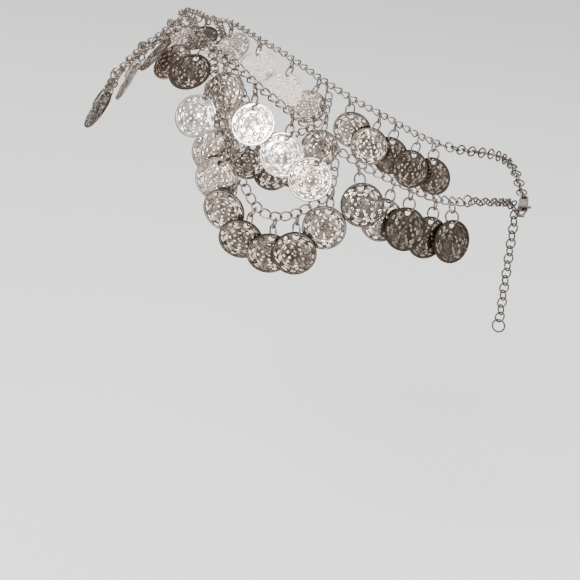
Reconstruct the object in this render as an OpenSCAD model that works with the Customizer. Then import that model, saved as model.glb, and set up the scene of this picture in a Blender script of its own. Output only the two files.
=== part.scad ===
// Head chain with coin drops: one long fine chain worn round the crown, a
// swag at each side and one over the brow, coins on pairs of jump rings,
// and a coarse chain with a trigger clasp at the back. Millimetres.
// The front peak of the long chain is the origin, +Z up, the back is +X and
// the wearer's left is -Y.

/* [Fine chain] */
// Outer width of the sleeve that stands for a fine chain
fine_width = 2.8; // [2.6:0.1:2.9]
// Distance from one fine link to the next
fine_pitch = 4; // [3.9:0.05:4.05]
// Outer size of the fine links
fine_link = 5.6; // [5.5:0.05:5.7]
// Wire of the fine links
fine_wire = 0.75; // [0.6:0.05:0.8]

/* [Coarse chain] */
// Outer size of the round links of the coarse chain
coarse_link = 5.05; // [4.95:0.05:5.05]
// Wire of the coarse links
coarse_wire = 0.75; // [0.6:0.05:0.8]
// Distance from one coarse link to the next
coarse_pitch = 3.3; // [3.25:0.01:3.32]

/* [Coins] */
// Coin diameter
coin_width = 18; // [16:0.5:18]
// Thickness of the coin's flat field
coin_field = 0.5; // [0.4:0.05:0.6]
// Thickness over the coin's raised rim
coin_edge = 0.8; // [0.7:0.05:0.8]
// Hole through the coin
coin_hole = 2.6; // [2.4:0.1:2.6]
// Distance from the coin's centre to its hole
hole_reach = 6.9; // [6.7:0.05:6.9]

/* [Jump rings] */
// Outer size of the ring that hangs in the chain
upper_ring = 4.95; // [4.85:0.05:5]
// Outer size of the ring that holds the coin
lower_ring = 6.05; // [5.95:0.05:6.1]
// Wire of the jump rings
ring_wire = 0.75; // [0.6:0.05:0.75]
// Outer size of the rings that end the fine chain
end_ring = 5.3; // [5.2:0.05:5.4]
// Outer size of the last ring of the hanging chain
last_ring = 6.2; // [6:0.1:6.4]

/* [Clasp] */
// Thickness of the clasp
clasp_thick = 2.8; // [2.6:0.1:3]
// Pin that the trigger turns on
pin_width = 0.9; // [0.8:0.05:1]
// Space all round the pin in the trigger
pin_space = 0.05; // [0.03:0.01:0.1]

/* [Hidden] */
silver = [0.72, 0.71, 0.69];
dark = [0.5, 0.49, 0.47];
smooth = 48;
spill = 1;

// Rounded form that the piece drapes over: centre, half sizes and pitch
drape_centre = [59, 0, -68];
drape_half = [94, 74, 73];
drape_pitch = 10.4;
drape_back = [cos(drape_pitch), 0, -sin(drape_pitch)];
drape_top = [sin(drape_pitch), 0, cos(drape_pitch)];

// Chain centre lines, near side, chosen by hand
main_points = [[0, 0, 0], [4.5, -14, -1], [11, -29, -5.5], [21, -42.5, -8.5], [34, -55, -16.5],
               [48, -62.5, -24], [64, -68, -33.5], [80, -69, -41.5], [96, -66.5, -47.5],
               [111, -61, -53], [125, -52, -55.5]];
swag_points = [[19, -59, -21], [24, -67, -34], [31.5, -74.5, -49.5], [40, -77, -61.5],
               [49, -76.5, -64], [59, -75.5, -59.5], [66.5, -74, -52]];
centre_points = [[-4.5, -12, -7.5], [-11, -12, -13.5], [-17.5, -12, -19.5], [-23.5, -11, -26.5],
                 [-28, -8, -35], [-31, 0, -41.5]];
hanging_points = [[125, -52, -55.5], [131, -46.5, -56.5], [137, -40, -57.5], [142.5, -32, -59],
                  [146.5, -25.5, -60.5], [149, -21, -65], [149.5, -20, -71], [149.5, -20, -80],
                  [149.5, -20, -97], [149.5, -20, -116.5]];
tail_points = [[125, 52, -55.5], [131, 46.5, -55], [138, 38.5, -53.5], [143.5, 29.5, -52],
               [147.5, 18, -51.5], [150, 8, -53], [151.5, 1, -56], [152.5, -5, -59]];
// Link of the hanging chain that the clasp holds, and the way the clasp lies
hook_link = 12;
clasp_way = [-1.5, -10, -4.5];

// Fine links of the main chain, counted from the front, where swags join
swag_front_link = 9;
swag_back_link = 27;
centre_link = 3;

// Coins of the main chain from back to front.
// Link, swing along the drape, turn about the hanging line, lift, ring turn
main_coins = [[41, 4, 0, 2.8, 50], [39, -4, 0, 0.6, 65], [36, -4, 0, 2.4, 50], [34, -12, 0, 0.6, 65],
              [30, 10, 0, 2.8, 50], [26, -18, 10, 3.2, 50], [22, -12, 0, 0.8, 50], [17, 6, 5, 2.5, 50],
              [12, 14, 12, 1.1, 50], [8, 10, -5, 2.2, 60], [6, -8, 0, 0.8, 50]];
// Coins of a side swag from front to back.
// Distance along the swag, swing, turn, lift, ring turn
swag_coins = [[23, -17, 0, 3.2, 47], [39, -5, -8, 1.8, 65], [51, -14, -5, 1.5, 47], [67, -28, 0, 1.2, 47],
              [79, -22, -8, 2, 65], [87, -6, -8, 1.8, 65], [95, 2, -4, 3.1, 60], [111, -6, 6, 0.9, 60]];
// Coins of one leg of the centre swag from the top down, same columns
centre_coins = [[10, 38, 20, 4, 65], [26, 38, 20, 2.5, 65], [42, 30, 0, 4, 65]];

// Steps per stretch of a smooth line, and spacing of a sleeve's rings
line_steps = 12;
sleeve_step = 10;
sleeve_sides = 8;
sleeve_shift = 0.7;
half_step = 0.5;

link_radius = (fine_link - fine_wire) / 2;
link_tilt = 22;
upper_radius = (upper_ring - ring_wire) / 2;
lower_radius = (lower_ring - ring_wire) / 2;
end_radius = (end_ring - ring_wire) / 2;
last_radius = (last_ring - ring_wire) / 2;
coarse_radius = (coarse_link - coarse_wire) / 2;
upper_drop = 1.2;
join_drop = 0.9;
lower_drop = 5;
coin_drop = 15.2;
turn_free = 45;
sleeve_gap = 2.75;
end_ease = 0.35;
link_ease = 0.15;
join_gap = 6.6;
join_reach = 8;

function unit(v) = v / norm(v);
function flip(v) = [v[0], -v[1], v[2]];

// Point on a smooth line through four neighbours
function glide(a, b, c, d, t) =
  0.5 * (2 * b + (c - a) * t + (2 * a - 5 * b + 4 * c - d) * pow(t, 2)
         + (3 * b - a - 3 * c + d) * pow(t, 3));

// Smooth line through route points with a point before and one after
function line(before, points, after) =
  let (p = concat([before], points, [after]), last = len(p) - 3)
  concat([for (i = [1:last], k = [0:line_steps - 1])
            glide(p[i - 1], p[i], p[i + 1], p[i + 2], k / line_steps)],
         [p[last + 1]]);
function open_line(points) =
  let (n = len(points) - 1)
  line(2 * points[0] - points[1], points, 2 * points[n] - points[n - 1]);

// Table of each coordinate against distance along the line
function measured(p) =
  let (s = [for (i = 0, run = 0; i < len(p); i = i + 1, run = run + (i < len(p) ? norm(p[i] - p[i - 1]) : 0))
              run])
  [for (a = [0:2]) [for (i = [0:len(p) - 1]) [s[i], p[i][a]]]];
function reach(track) = track[0][len(track[0]) - 1][0];
function at(track, s) = [for (a = [0:2]) lookup(s, track[a])];
function along(track, s) = unit(at(track, s + half_step) - at(track, s - half_step));

// Drape form: position in its own axes, outward direction, point at a height
function drape_axes(v) = [v * drape_back, v[1], v * drape_top];
function outward(p) =
  let (q = drape_axes(p - drape_centre),
       g = [for (a = [0:2]) q[a] / pow(drape_half[a], 2)])
  unit(g[0] * drape_back + [0, g[1], 0] + g[2] * drape_top);
function seated(p, lift) =
  let (q = drape_axes(p - drape_centre))
  drape_centre + (p - drape_centre) / norm([for (a = [0:2]) q[a] / (drape_half[a] + lift)]);

function square_to(v, n) = unit(v - n * (v * n));
function turned(v, axis, a) = v * cos(a) + cross(axis, v) * sin(a) + axis * (axis * v) * (1 - cos(a));
function link_at(k) = fine_pitch * (k + 0.5);

// Side of a chain that its drops hang from
function drop_side(track, s, side) =
  let (n = outward(at(track, s)))
  side * unit(cross(n, square_to(along(track, s), n)));

// A drop: wire it hangs from, hanging direction, coin centre, coin face
function wire_at(track, s, side) =
  let (p = at(track, s))
  p + link_radius * (cos(link_tilt) * drop_side(track, s, side) + sin(link_tilt) * outward(p));
function drop(track, side, row) =
  let (s = row[0],
       n = outward(at(track, s)),
       wire = wire_at(track, s, side),
       fall = turned(square_to([0, 0, -1], n), n, row[1]),
       hang = unit(seated(wire + coin_drop * fall, row[3]) - wire),
       centre = wire + coin_drop * hang,
       flat = square_to(outward(centre), hang),
       face = turned(flat, hang, row[2]))
  [wire, hang, centre, face, flat];

main_line = measured(line(flip(main_points[1]), main_points,
                          2 * main_points[10] - main_points[9]));
main_length = reach(main_line);
swag_start = at(main_line, link_at(swag_front_link));
swag_end = at(main_line, link_at(swag_back_link));
swag_line = measured(open_line(concat([swag_start], swag_points, [swag_end])));
swag_length = reach(swag_line);
centre_top = at(main_line, link_at(centre_link));
centre_line = measured(line(2 * centre_top - centre_points[0], concat([centre_top], centre_points),
                            flip(centre_points[4])));
centre_length = reach(centre_line);
hanging_line = measured(open_line(hanging_points));

main_rows = [for (r = main_coins) [link_at(r[0]), r[1], r[2], r[3], r[4]]];
inner_side = 1;
outer_side = -1;

// Puts a solid with its axis along z and its x axis as given
module placed(origin, z, x) {
  y = cross(z, x);
  multmatrix([[x[0], y[0], z[0], origin[0]],
              [x[1], y[1], z[1], origin[1]],
              [x[2], y[2], z[2], origin[2]],
              [0, 0, 0, 1]])
    children();
}

module hoop(radius, wire) {
  rotate_extrude($fn = smooth)
    translate([radius, 0])
      circle(d = wire, $fn = 16);
}

module ring_at(origin, axis, radius, wire) {
  placed(origin, axis, square_to(abs(axis[2]) < 0.7 ? [0, 0, 1] : [1, 0, 0], axis))
    hoop(radius, wire);
}

// Sleeve through frames of centre, outward and side directions
module sleeve(frames) {
  n = len(frames);
  r = fine_width / 2;
  points = [for (f = frames, k = [0:sleeve_sides - 1])
              f[0] + r * (cos(360 * k / sleeve_sides) * f[1] + sin(360 * k / sleeve_sides) * f[2])];
  walls = [for (i = [0:n - 2], k = [0:sleeve_sides - 1])
             let (m = (k + 1) % sleeve_sides)
             [i * sleeve_sides + k, i * sleeve_sides + m,
              (i + 1) * sleeve_sides + m, (i + 1) * sleeve_sides + k]];
  first = [for (k = [sleeve_sides - 1:-1:0]) k];
  last = [for (k = [0:sleeve_sides - 1]) (n - 1) * sleeve_sides + k];
  polyhedron(points = points, faces = concat([first], walls, [last]), convexity = 10);
}

// Frame of a sleeve at a place, moved clear of the rings that hang below
function sleeve_frame(track, s, side) =
  let (p = at(track, s), n = outward(p), e = drop_side(track, s, side))
  [p - sleeve_shift * e, n, e];
function flip_frame(f) = [flip(f[0]), flip(f[1]), flip(f[2])];
function spread(from, to) =
  let (n = ceil((to - from) / sleeve_step))
  [for (i = [0:n]) from + (to - from) * i / n];
function swapped(list) = [for (i = [len(list) - 1:-1:0]) list[i]];

module main_chain() {
  half = [for (s = spread(0, main_length - sleeve_gap)) sleeve_frame(main_line, s, outer_side)];
  rest = [for (i = [1:len(half) - 1]) flip_frame(half[i])];
  color(silver)
    sleeve(concat(swapped(rest), half));
}

module near_side_swag() {
  color(silver)
    sleeve([for (s = spread(join_gap, swag_length - join_gap)) sleeve_frame(swag_line, s, outer_side)]);
}

module far_side_swag() {
  mirror([0, 1, 0])
    near_side_swag();
}

module centre_swag() {
  half = [for (s = spread(join_gap, centre_length)) sleeve_frame(centre_line, s, inner_side)];
  rest = [for (i = [0:len(half) - 2]) flip_frame(half[i])];
  color(silver)
    sleeve(concat(half, swapped(rest)));
}

module near_end_ring() {
  p = main_points[10];
  color(silver)
    ring_at(p, outward(p), end_radius, ring_wire);
}

module far_end_ring() {
  mirror([0, 1, 0])
    near_end_ring();
}

// Round links set at 45 degrees to the drape, one way and the other in turn
function link_turn(i) = i % 2 == 0 ? 45 : -45;
module coarse_links(track, first, pitch, count, twist) {
  for (i = [0:count - 1]) {
    s = first + pitch * i;
    t = along(track, s);
    n = square_to(outward(at(track, s)), t);
    ring_at(at(track, s), turned(n, t, link_turn(i) + twist * i / (count - 1)), coarse_radius, coarse_wire);
  }
}

// Clasp: eye for the tail, ring-shaped claw, and where in it the held link lies
eye_outer = 1.9;
eye_hole = 1.05;
claw_wide = 3.1;
claw_inner = 1.9;
claw_centre = 9;
hook_angle = -60;
hook_reach = 3.4;

coarse_start = end_radius + coarse_radius - coarse_wire - end_ease;
hanging_count = floor((reach(hanging_line) - 2 * coarse_start) / coarse_pitch) + 1;
// Clasp drawn flat: x from its eye to its claw, y away from the drape
hook_place = coarse_start + coarse_pitch * hook_link;
clasp_x = unit(clasp_way);
clasp_z = -square_to(along(hanging_line, hook_place), clasp_x);
clasp_y = cross(clasp_z, clasp_x);
clasp_eye = at(hanging_line, hook_place) - claw_centre * clasp_x
            - hook_reach * (cos(hook_angle) * clasp_x + sin(hook_angle) * clasp_y);
tail_line = measured(open_line(concat(tail_points, [clasp_eye])));
tail_room = reach(tail_line) - coarse_start - coarse_radius;
tail_steps = ceil(tail_room / coarse_pitch);
tail_end = along(tail_line, reach(tail_line));
tail_side = square_to(outward(clasp_eye), tail_end);
tail_twist = atan2(tail_end * cross(tail_side, clasp_y), tail_side * clasp_y) - link_turn(tail_steps);

module hanging_chain() {
  color(dark)
    coarse_links(hanging_line, coarse_start, coarse_pitch, hanging_count, 0);
}

// The last ring stands across the drape, half a turn between the ways of the links
module last_ring() {
  s = coarse_start + coarse_pitch * (hanging_count - 1)
      + coarse_radius + last_radius - coarse_wire - link_ease;
  t = along(hanging_line, s);
  color(dark)
    ring_at(at(hanging_line, s), turned(square_to(outward(at(hanging_line, s)), t), t, 90), last_radius, ring_wire);
}

module tail_chain() {
  color(dark)
    coarse_links(tail_line, coarse_start, tail_room / tail_steps, tail_steps + 1, tail_twist);
}

// Ring in a link of the main chain that holds the end of a swag
module join_ring(link, track, s, fall) {
  wire = wire_at(main_line, link_at(link), outer_side);
  u = unit(at(track, s) - wire);
  ring_at(wire + fall * u, unit(cross(u, outward(wire))), upper_radius, ring_wire);
}

module near_joins() {
  join_ring(swag_front_link, swag_line, join_reach, join_drop);
  join_ring(swag_back_link, swag_line, swag_length - join_reach, upper_drop);
  join_ring(centre_link, centre_line, join_reach, upper_drop);
}

module swag_rings() {
  color(silver) {
    near_joins();
    mirror([0, 1, 0])
      near_joins();
  }
}

module drop_rings(track, side, row) {
  d = drop(track, side, row);
  open = turned(cross(d[1], d[4]), d[1], row[2] + max(0, row[4] - turn_free));
  ring_at(d[0] + upper_drop * d[1], open, upper_radius, ring_wire);
  ring_at(d[0] + lower_drop * d[1], turned(d[3], d[1], row[4]), lower_radius, ring_wire);
}

// Coin with raised rim, a raised ring and a boss on both faces
module coin() {
  r = coin_width / 2;
  f = coin_field / 2;
  e = coin_edge / 2;
  ring = r * 0.62;
  step = r * 0.05;
  boss = r * 0.2;
  rim = r * 0.92;
  side = [[0, e], [boss, e], [boss, f], [ring - step, f], [ring - step, e], [ring + step, e],
          [ring + step, f], [rim, f], [rim, e], [r, e]];
  difference() {
    rotate_extrude($fn = smooth)
      polygon(concat(side, [for (p = swapped(side)) [p[0], -p[1]]]));
    translate([-hole_reach, 0, -coin_edge])
      cylinder(d = coin_hole, h = 2 * coin_edge, $fn = smooth);
  }
}

module coin_at(track, side, row) {
  d = drop(track, side, row);
  placed(d[2], d[3], d[1])
    coin();
}

module near_main_rings() {
  color(silver)
    for (row = main_rows)
      drop_rings(main_line, outer_side, row);
}

module far_main_rings() {
  mirror([0, 1, 0])
    near_main_rings();
}

module near_swag_rings() {
  color(silver)
    for (row = swag_coins)
      drop_rings(swag_line, outer_side, row);
}

module far_swag_rings() {
  mirror([0, 1, 0])
    near_swag_rings();
}

module leg_rings() {
  for (row = centre_coins)
    drop_rings(centre_line, inner_side, row);
}

module centre_rings() {
  color(silver) {
    leg_rings();
    mirror([0, 1, 0])
      leg_rings();
  }
}

module leg_coins() {
  for (row = centre_coins)
    coin_at(centre_line, inner_side, row);
}

module centre_coins() {
  color(silver) {
    leg_coins();
    mirror([0, 1, 0])
      leg_coins();
  }
}

module near_main_coin(i) {
  color(silver)
    coin_at(main_line, outer_side, main_rows[i - 1]);
}

module near_swag_coin(i) {
  color(silver)
    coin_at(swag_line, outer_side, swag_coins[i - 1]);
}

module far_main_coin(i) {
  mirror([0, 1, 0])
    near_main_coin(i);
}

module far_swag_coin(i) {
  mirror([0, 1, 0])
    near_swag_coin(i);
}

// Clasp's shank with the slot for the trigger, its pin, and the claw's two ends
eye_thick = clasp_thick - 0.8;
shank_start = 1.3;
shank_end = claw_centre - claw_inner - 0.3;
shank_half = 2.1;
claw_thick = 1.1;
claw_from = -200;
claw_to = 25;
pivot = [5.2, 1.1];
pin_length = clasp_thick - 0.2;
// Trigger: hub, bar to the lever that closes the claw from inside, thumb piece
hub = 0.95;
trigger_thick = 1;
slot_thick = trigger_thick + 0.2;
slot_room = hub + 0.3;
lever_outer = claw_inner - 0.15;
lever_inner = 1.15;
lever_from = 12;
lever_to = 145;
bar_length = 2.7;
bar_half = 0.4;
thumb_wide = 1;
thumb_high = 2.4;

module in_clasp() {
  placed(clasp_eye, clasp_z, clasp_x)
    children();
}

// Slice of a ring between two angles
module arc_bar(inner, outer, from, to, thick) {
  translate([0, 0, -thick / 2])
    rotate([0, 0, from])
      rotate_extrude(angle = to - from, $fn = smooth)
        translate([inner, 0])
          square([outer - inner, thick]);
}

module clasp_body() {
  color(dark)
    in_clasp() {
      difference() {
        union() {
          cylinder(r = eye_outer, h = eye_thick, center = true, $fn = smooth);
          translate([shank_start, -shank_half, -clasp_thick / 2])
            cube([shank_end - shank_start, 2 * shank_half, clasp_thick]);
          translate([claw_centre, 0, 0])
            arc_bar(claw_inner, claw_wide, claw_from, claw_to, claw_thick);
        }
        cylinder(r = eye_hole, h = 2 * clasp_thick, center = true, $fn = smooth);
        translate([pivot[0] - slot_room, pivot[1] - slot_room, -slot_thick / 2])
          cube([shank_end - pivot[0] + slot_room + spill, 2 * shank_half, slot_thick]);
      }
      translate([pivot[0], pivot[1], 0])
        cylinder(d = pin_width, h = pin_length, center = true, $fn = smooth);
    }
}

module clasp_trigger() {
  color(dark)
    in_clasp()
      difference() {
        union() {
          translate([pivot[0], pivot[1], 0])
            cylinder(r = hub, h = trigger_thick, center = true, $fn = smooth);
          translate([claw_centre, 0, 0])
            arc_bar(lever_inner, lever_outer, lever_from, lever_to, trigger_thick);
          translate([pivot[0] - thumb_wide / 2, pivot[1], -trigger_thick / 2])
            cube([thumb_wide, thumb_high, trigger_thick]);
          translate([pivot[0], pivot[1] - bar_half, -trigger_thick / 2])
            cube([bar_length, 2 * bar_half, trigger_thick]);
        }
        translate([pivot[0], pivot[1], 0])
          cylinder(d = pin_width + 2 * pin_space, h = 2 * trigger_thick, center = true, $fn = smooth);
      }
}

main_chain();
near_side_swag();
far_side_swag();
centre_swag();
near_end_ring();
far_end_ring();
hanging_chain();
last_ring();
tail_chain();
swag_rings();
near_main_rings();
far_main_rings();
near_swag_rings();
far_swag_rings();
centre_rings();
centre_coins();
clasp_body();
clasp_trigger();
near_main_coin(1);  // near_main_coin_1
near_main_coin(2);  // near_main_coin_2
near_main_coin(3);  // near_main_coin_3
near_main_coin(4);  // near_main_coin_4
near_main_coin(5);  // near_main_coin_5
near_main_coin(6);  // near_main_coin_6
near_main_coin(7);  // near_main_coin_7
near_main_coin(8);  // near_main_coin_8
near_main_coin(9);  // near_main_coin_9
near_main_coin(10);  // near_main_coin_10
near_main_coin(11);  // near_main_coin_11
far_main_coin(1);  // far_main_coin_1
far_main_coin(2);  // far_main_coin_2
far_main_coin(3);  // far_main_coin_3
far_main_coin(4);  // far_main_coin_4
far_main_coin(5);  // far_main_coin_5
far_main_coin(6);  // far_main_coin_6
far_main_coin(7);  // far_main_coin_7
far_main_coin(8);  // far_main_coin_8
far_main_coin(9);  // far_main_coin_9
far_main_coin(10);  // far_main_coin_10
far_main_coin(11);  // far_main_coin_11
near_swag_coin(1);  // near_swag_coin_1
near_swag_coin(2);  // near_swag_coin_2
near_swag_coin(3);  // near_swag_coin_3
near_swag_coin(4);  // near_swag_coin_4
near_swag_coin(5);  // near_swag_coin_5
near_swag_coin(6);  // near_swag_coin_6
near_swag_coin(7);  // near_swag_coin_7
near_swag_coin(8);  // near_swag_coin_8
far_swag_coin(1);  // far_swag_coin_1
far_swag_coin(2);  // far_swag_coin_2
far_swag_coin(3);  // far_swag_coin_3
far_swag_coin(4);  // far_swag_coin_4
far_swag_coin(5);  // far_swag_coin_5
far_swag_coin(6);  // far_swag_coin_6
far_swag_coin(7);  // far_swag_coin_7
far_swag_coin(8);  // far_swag_coin_8
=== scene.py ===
"""Head chain with coin drops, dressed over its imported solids."""

from math import ceil, cos, pi, radians, sin

import bpy
import numpy as np
from mathutils import Matrix, Vector


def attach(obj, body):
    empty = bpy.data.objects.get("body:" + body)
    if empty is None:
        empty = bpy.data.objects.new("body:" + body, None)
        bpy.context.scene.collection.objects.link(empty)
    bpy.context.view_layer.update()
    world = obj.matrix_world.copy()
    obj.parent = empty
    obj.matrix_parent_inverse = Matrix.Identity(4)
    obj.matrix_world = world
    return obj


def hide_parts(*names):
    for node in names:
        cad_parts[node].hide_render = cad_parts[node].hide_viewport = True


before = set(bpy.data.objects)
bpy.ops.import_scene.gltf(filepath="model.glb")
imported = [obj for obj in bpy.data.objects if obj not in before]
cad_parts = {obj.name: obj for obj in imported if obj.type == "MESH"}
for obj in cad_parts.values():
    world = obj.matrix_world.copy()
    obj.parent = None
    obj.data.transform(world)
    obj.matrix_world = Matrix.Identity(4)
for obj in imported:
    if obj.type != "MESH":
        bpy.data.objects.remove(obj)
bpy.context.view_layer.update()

# View and floor: the chain keeps its worn shape over a plain pale floor, in plain soft light. It is
# seen from its left side and a little above, with the camera tipped a few degrees.
MM = 0.001
view_centre = Vector((58.75, 0, -116.34)) * MM
view_distance = 950 * MM
view_right = Vector((0.9934, 0, 0.1149))
view_back = Vector((-0.0317, -0.9613, 0.2738))
view_angle = radians(15.303)
view_near = 10 * MM
view_up = view_back.cross(view_right)
camera_data = bpy.data.cameras.new("camera")
camera = bpy.data.objects.new("camera", camera_data)
bpy.context.scene.collection.objects.link(camera)
turn = Matrix((view_right, view_up, view_back)).transposed().to_4x4()
camera.matrix_world = Matrix.Translation(view_centre + view_distance * view_back) @ turn
camera_data.angle = view_angle
camera_data.clip_start = view_near
bpy.context.scene.camera = camera

floor_height = -0.26
floor_size = 40


def nothing_selected():
    if bpy.context.object and bpy.context.object.mode != "OBJECT":
        bpy.ops.object.mode_set(mode="OBJECT")
    bpy.ops.object.select_all(action="DESELECT")


class Shade:
    """A node's output that takes part in sums: each sum adds a Math node to the tree in hand."""

    tree = None

    def __init__(self, socket):
        self.socket = socket

    @classmethod
    def node(cls, kind, settings=None, out=0, **inputs):
        """Adds a node. Its inputs go by name, or by number as i0, i1 and so on."""
        new = cls.tree.nodes.new(kind)
        for key, value in (settings or {}).items():
            setattr(new, key, value)
        for key, value in inputs.items():
            numbered = key[0] == "i" and key[1:].isdigit()
            slot = new.inputs[int(key[1:]) if numbered else key]
            if isinstance(value, Shade):
                cls.tree.links.new(value.socket, slot)
            else:
                slot.default_value = value
        return cls(new.outputs[out])

    def worked(self, kind, a, b):
        return self.node("ShaderNodeMath", {"operation": kind}, i0=a, i1=b)

    def __add__(self, other):
        return self.worked("ADD", self, other)

    def __sub__(self, other):
        return self.worked("SUBTRACT", self, other)

    def __rsub__(self, other):
        return self.worked("SUBTRACT", other, self)

    def __mul__(self, other):
        return self.worked("MULTIPLY", self, other)

    def __pow__(self, other):
        return self.worked("POWER", self, other)

    __radd__ = __add__
    __rmul__ = __mul__

    def held(self):
        return self.node("ShaderNodeClamp", Value=self)

    def between(self, low, high):
        """0 below low, 1 above high."""
        return ((self - low) * (1 / (high - low))).held()

    def mixed(self, first, second):
        """A colour that goes from the first to the second with this factor."""
        return self.node("ShaderNodeMix", {"data_type": "RGBA"}, out=2, i0=self, i6=first, i7=second)


def new_material(name):
    """A material and its metal or paper shader; sums from here on go into its nodes."""
    material = bpy.data.materials.new(name)
    material.use_nodes = True
    Shade.tree = material.node_tree
    surface = next(n for n in material.node_tree.nodes if n.type == "BSDF_PRINCIPLED")
    return material, surface


def feed(surface, **inputs):
    """Sets or links a shader's sockets, named with _ for each space."""
    for key, value in inputs.items():
        slot = surface.inputs[key.replace("_", " ")]
        if isinstance(value, Shade):
            Shade.tree.links.new(value.socket, slot)
        else:
            slot.default_value = value


floor_paper, surface = new_material("floor_paper")
floor_place = Shade.node("ShaderNodeTexCoord", out=3)
floor_cloud = Shade.node("ShaderNodeTexNoise", Vector=floor_place, Scale=3.0, Detail=2.0)
feed(surface, Base_Color=floor_cloud.mixed((0.88, 0.875, 0.87, 1), (0.91, 0.905, 0.9, 1)),
     Roughness=0.85)

nothing_selected()
bpy.ops.mesh.primitive_plane_add(size=floor_size, location=(0, 0, floor_height))
bpy.ops.object.transform_apply(location=True, rotation=True, scale=True)
floor = bpy.context.object
floor.name = "floor"
floor.data.materials.append(floor_paper)

# The room: dim and warm near the floor, bright overhead
room_low = (0.15, 0.137, 0.125, 1)
room_high = (1.45, 1.43, 1.41, 1)
room_strength = 0.85
world = bpy.data.worlds.new("room")
world.use_nodes = True
Shade.tree = world.node_tree
height = Shade.node("ShaderNodeSeparateXYZ", out=2, Vector=Shade.node("ShaderNodeTexCoord", out=0))
feed(world.node_tree.nodes["Background"], Color=height.between(0.05, 0.8).mixed(room_low, room_high),
     Strength=room_strength)
bpy.context.scene.world = world
chain_middle = Vector((60, 0, -60)) * MM


def soft_light(name, place, size, power, tint):
    """A square light at a place in metres, turned to the chain."""
    light = bpy.data.lights.new(name, "AREA")
    light.shape = "SQUARE"
    light.size = size
    light.energy = power
    light.color = tint
    lamp = bpy.data.objects.new(name, light)
    bpy.context.scene.collection.objects.link(lamp)
    lamp.location = Vector(place)
    lamp.rotation_euler = (chain_middle - lamp.location).to_track_quat("-Z", "Y").to_euler()


soft_light("window", (-0.5, -1.25, 0.85), 0.6, 40, (1.0, 0.98, 0.95))
soft_light("side", (1.1, -0.7, 0.5), 0.5, 8, (0.95, 0.97, 1.0))
soft_light("top", (0.1, 0.5, 1.6), 1.4, 22, (1.0, 1.0, 1.0))

# Wire metals: soft silver-toned plating, bright where it rubs and grey-brown where tarnish stays,
# with fine scratches. The coarse chain and the clasp have lost their plating and are darker.
scratch_depth = 0.05 * MM


def plated(name, bright, tarnish, amount, grain, rough):
    """Metal that goes from its bright to its tarnished colour in cloudy patches and flecks."""
    material, metal = new_material(name)
    place = Shade.node("ShaderNodeTexCoord", out=3)
    patch = Shade.node("ShaderNodeTexNoise", Vector=place, Scale=grain, Detail=4.0, Roughness=0.6)
    fleck = Shade.node("ShaderNodeTexNoise", Vector=place, Scale=grain * 6, Detail=2.0)
    worn = (patch.between(0.35, 0.7) * amount + fleck.between(0.5, 0.75) * 0.3 * amount).held()
    scratches = Shade.node("ShaderNodeBump", Height=fleck + patch * 0.5, Strength=0.25,
                           Distance=scratch_depth)
    feed(metal, Base_Color=worn.mixed(bright, tarnish), Metallic=1.0,
         Roughness=worn * 0.25 + rough, Normal=scratches)
    return material


def in_metal(piece, metal):
    piece.data.materials.clear()
    piece.data.materials.append(metal)


wire_grain = 420.0
silver_wire = plated("silver_wire", (0.27, 0.222, 0.192, 1), (0.04, 0.031, 0.026, 1),
                     amount=0.85, grain=wire_grain, rough=0.2)
dark_wire = plated("dark_wire", (0.15, 0.128, 0.114, 1), (0.03, 0.025, 0.021, 1),
                   amount=0.9, grain=wire_grain, rough=0.24)

# Fine chain: long round-ended links of soft silver-toned wire, butted on one side and wrung a
# quarter turn, so that they lie flat where they drape. All lean one way, each through the next.
# Sizes in millimetres: the wire's middle from the link's centre, along and across the link, the
# wire, the distance from link to link and the cut where the wire's ends meet. The weld, in metres,
# is how near two points are when they are made one.
LINK_REACH = 2.425
LINK_HALF = 1.7
LINK_WIRE = 0.75
LINK_PITCH = 4.0
LINK_CUT = 0.06
WIRE_SIDES = 6
BEND_STEPS = 7
LINK_WRING = radians(-95)
LINK_LEAN = 22
WELD = 0.001 * MM

# Routes in millimetres, near side, as in the part's source, and how many links from the front the
# swags are joined
main_points = [(0, 0, 0), (4.5, -14, -1), (11, -29, -5.5), (21, -42.5, -8.5), (34, -55, -16.5),
               (48, -62.5, -24), (64, -68, -33.5), (80, -69, -41.5), (96, -66.5, -47.5),
               (111, -61, -53), (125, -52, -55.5)]
swag_points = [(19, -59, -21), (24, -67, -34), (31.5, -74.5, -49.5), (40, -77, -61.5),
               (49, -76.5, -64), (59, -75.5, -59.5), (66.5, -74, -52)]
brow_points = [(-4.5, -12, -7.5), (-11, -12, -13.5), (-17.5, -12, -19.5), (-23.5, -11, -26.5),
               (-28, -8, -35), (-31, 0, -41.5)]
brow_joint = 3.5
swag_joints = (9.5, 27.5)

# The chains drape as over a plain egg shape: its centre, half sizes and pitch
drape_centre = np.array((59, 0, -68.0))
drape_half = np.array((94, 74, 73.0))
drape_pitch = radians(10.4)
drape_axes = np.array(((cos(drape_pitch), 0, -sin(drape_pitch)), (0, 1, 0),
                       (sin(drape_pitch), 0, cos(drape_pitch))))


def unit(v):
    return v / np.linalg.norm(v)


def across(v, n):
    """The part of a direction that is square to another, one long."""
    return unit(v - n * (v @ n))


def outward(p):
    """Way straight out of the drape at a point."""
    return unit((drape_axes @ (p - drape_centre) / drape_half ** 2) @ drape_axes)


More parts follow.
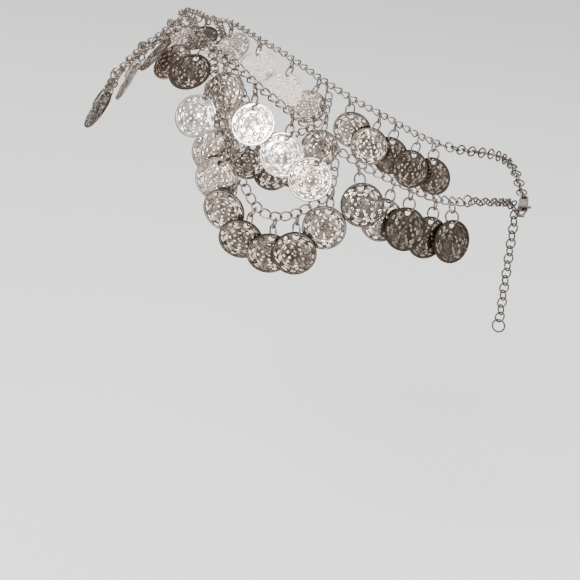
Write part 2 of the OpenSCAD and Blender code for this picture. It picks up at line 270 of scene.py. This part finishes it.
class Route:
    """Smooth line through points, measured along its length in millimetres."""

    steps = 12

    def __init__(self, before, points, after):
        p = [np.array(q, float) for q in (before, *points, after)]
        line = []
        for a, b, c, d in zip(p, p[1:], p[2:], p[3:]):
            for t in np.arange(0, 1, 1 / self.steps):
                line.append(0.5 * (2 * b + (c - a) * t + (2 * a - 5 * b + 4 * c - d) * t ** 2
                                   + (3 * b - a - 3 * c + d) * t ** 3))
        self.line = np.array(line + [p[-2]])
        lengths = np.linalg.norm(np.diff(self.line, axis=0), axis=1)
        self.run = np.concatenate(([0], np.cumsum(lengths)))
        self.length = self.run[-1]

    def at(self, s):
        return np.array([np.interp(s, self.run, self.line[:, a]) for a in range(3)])

    def along(self, s):
        return unit(self.at(s + 0.5) - self.at(s - 0.5))


def flipped(p):
    """The same point on the far side."""
    return (p[0], -p[1], p[2])


def past(a, b):
    """As far beyond a as b is before it."""
    return tuple(2 * np.array(a) - np.array(b))


main_whole = Route(past(flipped(main_points[10]), flipped(main_points[9])),
                   [flipped(p) for p in main_points[:0:-1]] + main_points,
                   past(main_points[10], main_points[9]))
main_half = main_whole.length / 2
swag_start, swag_end = [main_whole.at(main_half + LINK_PITCH * joint) for joint in swag_joints]
near_swag = Route(past(swag_start, swag_points[0]), [swag_start, *swag_points, swag_end],
                  past(swag_end, swag_points[-1]))
brow_start = main_whole.at(main_half + LINK_PITCH * brow_joint)
brow_near = [brow_start, *brow_points]
brow_whole = Route(past(brow_start, brow_points[0]),
                   brow_near + [flipped(p) for p in brow_near[-2::-1]],
                   past(flipped(brow_start), flipped(brow_points[0])))

# One link: a wire's round end run along the loop from a fine cut on the side away from the drops
link_straight = LINK_REACH - LINK_HALF


def run_wire(way):
    bpy.ops.mesh.extrude_region_move(TRANSFORM_OT_translate={"value": (0, way * MM, 0)})


def bend_wire(middle):
    bpy.ops.mesh.spin(steps=BEND_STEPS, angle=pi, center=(0, middle * MM, 0), axis=(0, 0, 1))


def edit_all():
    bpy.ops.object.mode_set(mode="EDIT")
    bpy.ops.mesh.select_all(action="SELECT")


def face_outwards():
    """Turns the active piece's faces outwards."""
    edit_all()
    bpy.ops.mesh.normals_make_consistent(inside=False)
    bpy.ops.object.mode_set(mode="OBJECT")


def only(piece):
    """Selects one piece alone, for the next operator."""
    nothing_selected()
    piece.select_set(True)
    bpy.context.view_layer.objects.active = piece


nothing_selected()
bpy.ops.mesh.primitive_circle_add(
    vertices=WIRE_SIDES, radius=LINK_WIRE / 2 * MM, fill_type="NGON",
    location=(-LINK_HALF * MM, LINK_CUT / 2 * MM, 0), rotation=(pi / 2, 0, 0))
bpy.ops.object.transform_apply(location=True, rotation=True, scale=True)
plain_link = bpy.context.object
plain_link.name = "plain_link"
edit_all()
run_wire(link_straight - LINK_CUT / 2)
bend_wire(link_straight)
run_wire(-link_straight)
run_wire(-link_straight)
bend_wire(-link_straight)
run_wire(link_straight - LINK_CUT / 2)
bpy.ops.mesh.select_all(action="SELECT")
bpy.ops.mesh.remove_doubles(threshold=WELD)
bpy.ops.object.mode_set(mode="OBJECT")
face_outwards()
bpy.ops.object.shade_smooth_by_angle(angle=radians(75))


def set_of(axes, origin):
    """Places a piece by its own x, y and z directions and its origin in millimetres."""
    place = Matrix([Vector(axis) for axis in axes]).transposed().to_4x4()
    place.translation = Vector(origin) * MM
    return place


def copied(master, place, name):
    """A copy with its own mesh, which is put in its place."""
    piece = master.copy()
    piece.data = master.data.copy()
    piece.data.transform(place)
    piece.name = name
    bpy.context.scene.collection.objects.link(piece)
    return piece


def joined(pieces, name):
    nothing_selected()
    for piece in pieces:
        piece.select_set(True)
    bpy.context.view_layer.objects.active = pieces[0]
    bpy.ops.object.join()
    whole = bpy.context.object
    whole.name = name
    whole.data.name = name
    return whole


link = copied(plain_link, Matrix.Identity(4), "link")
only(link)
wring = link.modifiers.new("wring", "SIMPLE_DEFORM")
wring.deform_method = "TWIST"
wring.deform_axis = "Y"
wring.angle = LINK_WRING
bpy.ops.object.modifier_apply(modifier="wring")


def strung(route, places, side, plain_end, plain_lean, name):
    """Real links along a route, leaning out from the side that drops hang from.

    The link at one end is plain, with a lean of its own, so that it meets what it hangs in.
    """
    links = []
    for k, s in enumerate(places):
        spot, along = route.at(s), route.along(s)
        off = across(outward(spot), along)
        edge = side * np.cross(off, along)
        plain = k == plain_end % len(places)
        lean, turn = radians(LINK_LEAN), radians(plain_lean if plain else LINK_LEAN)
        drop_way = cos(lean) * edge + sin(lean) * off
        out = cos(turn) * edge + sin(turn) * off
        place = set_of((out, along, np.cross(out, along)), spot + link_straight * drop_way)
        links.append(copied(plain_link if plain else link, place, "link"))
    chain = joined(links, name)
    in_metal(chain, silver_wire)
    return chain


# Long chain: one length of the fine chain, 43 links a side, that goes round from the far end ring
# over the front to the near end ring. Its last links hang in the two rings.
main_count = 43
end_ring_radius = 2.275
end_overlap = LINK_WIRE + 0.1
end_lean = 67
last_place = main_half - end_ring_radius + end_overlap - LINK_REACH
main_pitch = last_place / (main_count - 0.5)
main_places = [main_half + main_pitch * (k + 0.5) for k in range(-main_count, main_count)]
main_links = strung(main_whole, main_places, -1, 0, end_lean, "main_links")
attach(main_links, "chain")
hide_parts("main_chain")


def placed_links(first, drops, last):
    """Places of links, one at each drop and the rest spread evenly between, at most a pitch apart."""
    spare = 0.02
    stops = [first, *drops, last]
    places = []
    for a, b in zip(stops, stops[1:]):
        count = max(1, ceil((b - a) / LINK_PITCH - spare))
        places += [a + (b - a) * i / count for i in range(count)]
    return places + [last]


# Side swags: a length of the same chain at each side, hung in a deep loop from the long chain by a
# jump ring at each end. Eight links of each carry a drop.
swag_lean = -23
swag_clear = (7, 7.2)
swag_drops = [23, 39, 51, 67, 79, 87, 95, 111]
swag_places = placed_links(swag_clear[0], swag_drops, near_swag.length - swag_clear[1])
near_links = strung(near_swag, swag_places, -1, -1, swag_lean, "near_side_links")
far_links = copied(near_links, Matrix.Diagonal((1, -1, 1, 1)), "far_side_links")
for piece, node in ((near_links, "near_side_swag"), (far_links, "far_side_swag")):
    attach(piece, "chain")
    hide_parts(node)

# Brow swag: a shorter length of the same chain that hangs in a loop at the front, from a jump ring
# at each end. Three links of each leg carry a drop.
brow_clear = 6
brow_drops = [10, 26, 42]
brow_drops += [brow_whole.length - s for s in reversed(brow_drops)]
brow_places = placed_links(brow_clear, brow_drops, brow_whole.length - brow_clear)
brow_links = strung(brow_whole, brow_places, 1, 0, swag_lean, "brow_links")
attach(brow_links, "chain")
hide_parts("centre_swag")

# Jump rings and coarse chain: round rings of wire, each closed by hand through its neighbours. The
# solids have their real shape, and take the bright wire's metal or, in the coarse chain, the dull.
silver_rings = ("swag_rings", "near_main_rings", "far_main_rings", "near_swag_rings", "far_swag_rings",
                "centre_rings", "near_end_ring", "far_end_ring")
coarse_rings = ("hanging_chain", "last_ring", "tail_chain")
for names, metal in ((silver_rings, silver_wire), (coarse_rings, dark_wire)):
    for name in names:
        in_metal(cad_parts[name], metal)

# Trigger clasp: two small castings, a body with its eye and claw, and a lever pinned in its slot.
# They are tumbled, which leaves no sharp edge, and have the coarse chain's dull metal.
# Grain and tumbling say how fine the castings are remade and how far their edges are worn down
CLASP_GRAIN = 0.06
TUMBLING = 30
TUMBLE_FORCE = 0.5
FACES_KEPT = 0.12


def merged_copy(node, name):
    """A copy of a node's mesh with its loose triangles merged, selected alone."""
    piece = bpy.data.objects.new(name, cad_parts[node].data.copy())
    bpy.context.scene.collection.objects.link(piece)
    only(piece)
    edit_all()
    bpy.ops.mesh.remove_doubles(threshold=WELD)
    bpy.ops.object.mode_set(mode="OBJECT")
    return piece


for name, body in (("clasp_body", "chain"), ("clasp_trigger", "trigger")):
    casting = merged_copy(name, "tumbled_" + name)
    cast = casting.modifiers.new("cast", "REMESH")
    cast.mode = "VOXEL"
    cast.voxel_size = CLASP_GRAIN * MM
    tumble = casting.modifiers.new("tumble", "SMOOTH")
    tumble.factor = TUMBLE_FORCE
    tumble.iterations = TUMBLING
    thin = casting.modifiers.new("thin", "DECIMATE")
    thin.ratio = FACES_KEPT
    for step in ("cast", "tumble", "thin"):
        bpy.ops.object.modifier_apply(modifier=step)
    bpy.ops.object.shade_smooth()
    in_metal(casting, dark_wire)
    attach(casting, body)
    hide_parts(name)

# Coins: thin struck discs of silver-toned metal, drilled near the edge, both faces alike: a rim, rows
# of short dashes, a raised ring, studs and a boss. High spots are rubbed bright, the ground is dull.
# Sizes in millimetres; a slope is how far a raised edge leans in
COIN_RADIUS = 9.0
COIN_EDGE = 0.8
COIN_FIELD = 0.5
COIN_RIM = 0.72
COIN_SIDES = 64
HOLE_REACH = 6.9
HOLE_RADIUS = 1.3
HOLE_SIDES = 24
RING_AT = 5.58
RING_HALF = 0.45
RING_RISE = 0.08
RING_SLOPE = 0.05
BOSS_RADIUS = 1.8
BOSS_SLOPE = 0.3
EDGE_EASE = 0.07
field_z = COIN_FIELD / 2
edge_z = COIN_EDGE / 2
sink = edge_z - field_z


def only_faces(piece, chosen):
    """Selects the faces that a test on centre and normal picks, and enters edit mode."""
    bpy.ops.object.mode_set(mode="EDIT")
    bpy.ops.mesh.select_mode(type="FACE")
    bpy.ops.mesh.select_all(action="DESELECT")
    bpy.ops.object.mode_set(mode="OBJECT")
    for face in piece.data.polygons:
        face.select = chosen(Vector(face.center) / MM, face.normal)
    bpy.ops.object.mode_set(mode="EDIT")


def narrow(width):
    """Insets the selected face."""
    bpy.ops.mesh.inset(thickness=width * MM)


def lift(height):
    """Moves what is selected up the coin's axis."""
    bpy.ops.transform.translate(value=(0, 0, height * MM))


nothing_selected()
bpy.ops.mesh.primitive_cylinder_add(vertices=COIN_SIDES, radius=COIN_RADIUS * MM,
                                    depth=COIN_EDGE * MM, end_fill_type="NGON")
coin = bpy.context.object
coin.name = "coin"
for up in (1, -1):
    only_faces(coin, lambda centre, normal, up=up: normal.z * up > 0.9)
    narrow(COIN_RIM)
    bpy.ops.mesh.extrude_region_shrink_fatten(TRANSFORM_OT_shrink_fatten={"value": -sink * MM})
    narrow(COIN_RADIUS - COIN_RIM - RING_AT - RING_HALF)
    narrow(RING_SLOPE)
    lift(up * RING_RISE)
    narrow(2 * (RING_HALF - RING_SLOPE))
    narrow(RING_SLOPE)
    lift(-up * RING_RISE)
    narrow(RING_AT - RING_HALF - BOSS_RADIUS)
    narrow(BOSS_SLOPE)
    lift(up * sink)
    bpy.ops.object.mode_set(mode="OBJECT")

# The hole is drilled, then its edge and the rim's are eased
nothing_selected()
bpy.ops.mesh.primitive_cylinder_add(vertices=HOLE_SIDES, radius=HOLE_RADIUS * MM, depth=2 * MM,
                                    location=(-HOLE_REACH * MM, 0, 0))
drill = bpy.context.object
cut = coin.modifiers.new("hole", "BOOLEAN")
cut.operation = "DIFFERENCE"
cut.solver = "EXACT"
cut.object = drill
ease = coin.modifiers.new("ease", "BEVEL")
ease.width = EDGE_EASE * MM
ease.segments = 2
ease.limit_method = "ANGLE"
ease.angle_limit = radians(50)
only(coin)
bpy.ops.object.modifier_apply(modifier="hole")
bpy.ops.object.modifier_apply(modifier="ease")
bpy.data.objects.remove(drill)

# One stud: a small rounded pad, one high, whose open foot sinks into the ground. It narrows in
# steps, each given with the height that it gains.
STUD_SIDES = 9
STUD_RADIUS = 0.78
STUD_FOOT = 0.02
stud_steps = ((0.2, 0.12), (0.1, 0.5), (0.2, 0.3), (0.13, 0.08))
nothing_selected()
bpy.ops.mesh.primitive_circle_add(vertices=STUD_SIDES, radius=STUD_RADIUS * MM, fill_type="NGON",
                                  location=(0, 0, -STUD_FOOT * MM))
bpy.ops.object.transform_apply(location=True, rotation=True, scale=True)
stud = bpy.context.object
stud.name = "stud"
edit_all()
for inward, gain in stud_steps:
    narrow(inward)
    lift(gain)
bpy.ops.object.mode_set(mode="OBJECT")

# Rows of studs: how far out, how many, length round the row, width across it, first angle, height.
# They stray a little from even, as by hand, and none stands at the hole.
stud_rows = [(7.5, 12, 2.5, 0.95, 0, 0.2), (6.4, 10, 2.4, 0.85, 9, 0.18), (5.5, 9, 2.0, 0.85, 3, 0.25),
             (4.3, 8, 1.5, 1.15, 14, 0.22), (2.75, 6, 1.3, 1.15, 20, 0.23),
             (0.85, 3, 1.2, 1.1, 40, 0.12)]
hole_margin = 2.1
stray_round, stray_out, stray_size, stray_turn = 0.18, 0.12, 0.25, radians(14)
marks = []
for row, (reach, count, length, width, first, rise) in enumerate(stud_rows):
    for i in range(count):
        angle = radians(first) + 2 * pi * (i + stray_round * sin(3.7 * i + row)) / count
        out = reach + stray_out * sin(4.3 * i + 1.9 * row)
        spot = Vector((out * cos(angle), out * sin(angle), 0))
        if (spot - Vector((-HOLE_REACH, 0, 0))).length < hole_margin:
            continue
        foot = edge_z if reach < BOSS_RADIUS else field_z
        wobble = 1 + stray_size * sin(7.3 * i + 2.1 * row)
        aside = angle + stray_turn * sin(5.1 * i + row)
        for up in (1, -1):
            place = (Matrix.Translation(Vector((spot.x, spot.y, up * foot)) * MM)
                     @ Matrix.Rotation(aside, 4, "Z")
                     @ Matrix.Diagonal((width * wobble, length / wobble, up * rise, 1)))
            marks.append(copied(stud, place, "mark"))
coin = joined([coin, *marks], "coin")
bpy.data.objects.remove(stud)
face_outwards()
bpy.ops.object.shade_smooth_by_angle(angle=radians(55))

# Each point keeps its place on the coin: across and along in millimetres, and how far it stands over
# the ground as a share of the rim's height
struck = coin.data.attributes.new("struck", "FLOAT_VECTOR", "POINT")
struck.data.foreach_set("vector", [part for point in coin.data.vertices for part in (
    point.co.x / MM, point.co.y / MM, (abs(point.co.z) / MM - field_z) / sink)])


def coin_metal(name, bright, tarnish, ground, crevice_tarnish_and_shade, shine):
    """Coin metal, darkened on its ground to the given share by tarnish and painted shade, and more so
    round the studs and at the rim's foot, partly tarnish and partly painted shade.
    """
    material, metal = new_material(name)
    place = Shade.node("ShaderNodeTexCoord", out=3)
    spot = Shade.node("ShaderNodeAttribute", {"attribute_name": "struck"}, out=1)
    aside, along, height = [Shade.node("ShaderNodeSeparateXYZ", out=i, Vector=spot) for i in range(3)]
    reach = (aside * aside + along * along) ** 0.5
    cloud = Shade.node("ShaderNodeTexNoise", Vector=place, Scale=330.0, Detail=4.0, Roughness=0.65)
    patch = Shade.node("ShaderNodeTexNoise", Vector=place, Scale=150.0, Detail=1.0)
    pits = Shade.node("ShaderNodeTexNoise", Vector=place, Scale=1900.0, Detail=3.0)
    rim_inside = COIN_RADIUS - COIN_RIM
    # Height over the ground or, on the boss, over its top
    over = height - (1 - reach.between(BOSS_RADIUS - 0.2, BOSS_RADIUS + 0.1))
    inside = 1 - reach.between(rim_inside - 0.05, rim_inside + 0.05) * 0.85
    worn = over.between(0.4, 0.9) * patch.between(0.38, 0.54) * cloud.between(0.28, 0.46)
    worn = worn * inside * shine
    # Darker round the foot of each stud and at the rim's foot: partly tarnish, partly painted shade in
    # the crevices. The rim itself is made darker too.
    collar = (over.between(0.0, 0.08) - over.between(0.25, 0.6)) * (pits + 0.5)
    rim_foot = reach.between(rim_inside - 0.35, rim_inside) * (1 - height.between(0.05, 0.3))
    rim = reach.between(rim_inside + 0.1, rim_inside + 0.4)
    grime = (cloud - 0.5) * 0.7 + (patch - 0.5) * 0.3 + (pits - 0.5) * 0.5
    tarnish_and_painted_shade = (ground - worn + (collar + rim_foot) * crevice_tarnish_and_shade + rim * 0.25 + grime).held()
    # The faces are struck a little hollow, and pitted
    dish = reach * reach * (-0.005)
    skin = Shade.node("ShaderNodeBump", Height=pits * 0.03 + cloud * 0.08 + dish, Strength=1.0,
                      Distance=MM)
    feed(metal, Base_Color=tarnish_and_painted_shade.mixed(bright, tarnish), Metallic=1.0,
         Roughness=tarnish_and_painted_shade * 0.26 + 0.14, Normal=skin)
    return material


# Bright and tarnished colours, share of tarnish and painted shade on the ground, strength of the
# tarnish and painted shade in the crevices, and rub on the high spots. The five are lit and shaded
# copies of one
# coin metal: painted light and shade.
coin_painted_bright = coin_metal("coin_painted_bright", (0.98, 0.93, 0.89, 1), (0.33, 0.275, 0.235, 1), 0.22, 0.7, 0.3)
coin_painted_warm = coin_metal("coin_painted_warm", (1.0, 0.91, 0.85, 1), (0.115, 0.083, 0.063, 1), 0.78, 0.4, 1.5)
coin_painted_mid = coin_metal("coin_painted_mid", (0.95, 0.85, 0.77, 1), (0.05, 0.037, 0.028, 1), 0.86, 0.35, 1.3)
coin_painted_dark = coin_metal("coin_painted_dark", (0.78, 0.68, 0.60, 1), (0.037, 0.028, 0.022, 1), 0.92, 0.3, 1.0)
coin_painted_dim = coin_metal("coin_painted_dim", (0.46, 0.395, 0.34, 1), (0.040, 0.031, 0.024, 1), 0.96, 0.25, 0.55)


def coin_seat(points):
    """Where a flat coin lies, found from its solid's points: its middle, its face and its hole."""
    points = np.unique(np.round(points, 6), axis=0) / MM
    middle = points.mean(axis=0)
    axes = np.linalg.svd(points - middle, full_matrices=False)[2]
    flat = (points - middle) @ axes[:2].T
    centre = (flat.min(axis=0) + flat.max(axis=0)) / 2
    reach = np.linalg.norm(flat - centre, axis=1)
    wall = flat[(reach > RING_AT + RING_HALF + 0.1) & (reach < COIN_RADIUS - COIN_RIM - 0.1)]
    hole = unit(wall.mean(axis=0) - centre)
    x = -(hole[0] * axes[0] + hole[1] * axes[1])
    level = ((points - middle) @ axes[2]).mean()
    centre = middle + centre[0] * axes[0] + centre[1] * axes[1] + level * axes[2]
    z = axes[2] if axes[2] @ outward(centre) > 0 else -axes[2]
    return set_of((x, np.cross(z, x), z), centre)


def mesh_points(solid):
    points = np.empty(len(solid.data.vertices) * 3)
    solid.data.vertices.foreach_get("co", points)
    return points.reshape(-1, 3)


def dress_coin(points, name, metal):
    piece = copied(coin, coin_seat(points), name)
    in_metal(piece, metal)
    return piece


# Coins of the long chain, from back to front, and of the side swags, from front to back, each on a
# pair of jump rings. Those that face the window get the brighter copies of the coin metal and the low
# ones the darker: painted light and shade.
main_painted_light = [coin_painted_dim, coin_painted_dim, coin_painted_dim, coin_painted_mid, coin_painted_mid, coin_painted_warm, coin_painted_bright, coin_painted_bright,
               coin_painted_warm, coin_painted_dim, coin_painted_warm]
swag_painted_light = [coin_painted_bright, coin_painted_warm, coin_painted_warm, coin_painted_mid, coin_painted_dark, coin_painted_dark, coin_painted_dark, coin_painted_mid]
for side in ("near", "far"):
    for kind, painted_levels in (("main", main_painted_light), ("swag", swag_painted_light)):
        for i, metal in enumerate(painted_levels, 1):
            node = "%s_%s_coin_%d" % (side, kind, i)
            piece = dress_coin(mesh_points(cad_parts[node]), "struck_" + node, metal)
            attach(piece, "chain")
            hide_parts(node)

# Brow coins: the same coins, three on each leg of the brow swag. They share one node, so a copy of
# it is parted into its coins: the near leg's from the top down, then the far leg's.
merged_copy("centre_coins", "brow_solid")
edit_all()
bpy.ops.mesh.separate(type="LOOSE")
bpy.ops.object.mode_set(mode="OBJECT")
brow_solids = list(bpy.context.selected_objects)


def place_in_row(solid):
    middle = mesh_points(solid).mean(axis=0)
    return middle[1] > 0, -middle[2]


brow_solids.sort(key=place_in_row)
# The brow coins take the mid and warm copies of the coin metal in turn: painted light and shade.
brow_painted_light = [coin_painted_mid, coin_painted_warm, coin_painted_mid] * 2
brow_coins = [dress_coin(mesh_points(solid), "brow_coin", metal)
              for solid, metal in zip(brow_solids, brow_painted_light)]
for solid in brow_solids:
    bpy.data.objects.remove(solid)
brow_piece = joined(brow_coins, "struck_brow_coins")
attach(brow_piece, "chain")
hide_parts("centre_coins")

# The models that the copies were made from go
for master in (coin, link, plain_link):
    bpy.data.objects.remove(master)
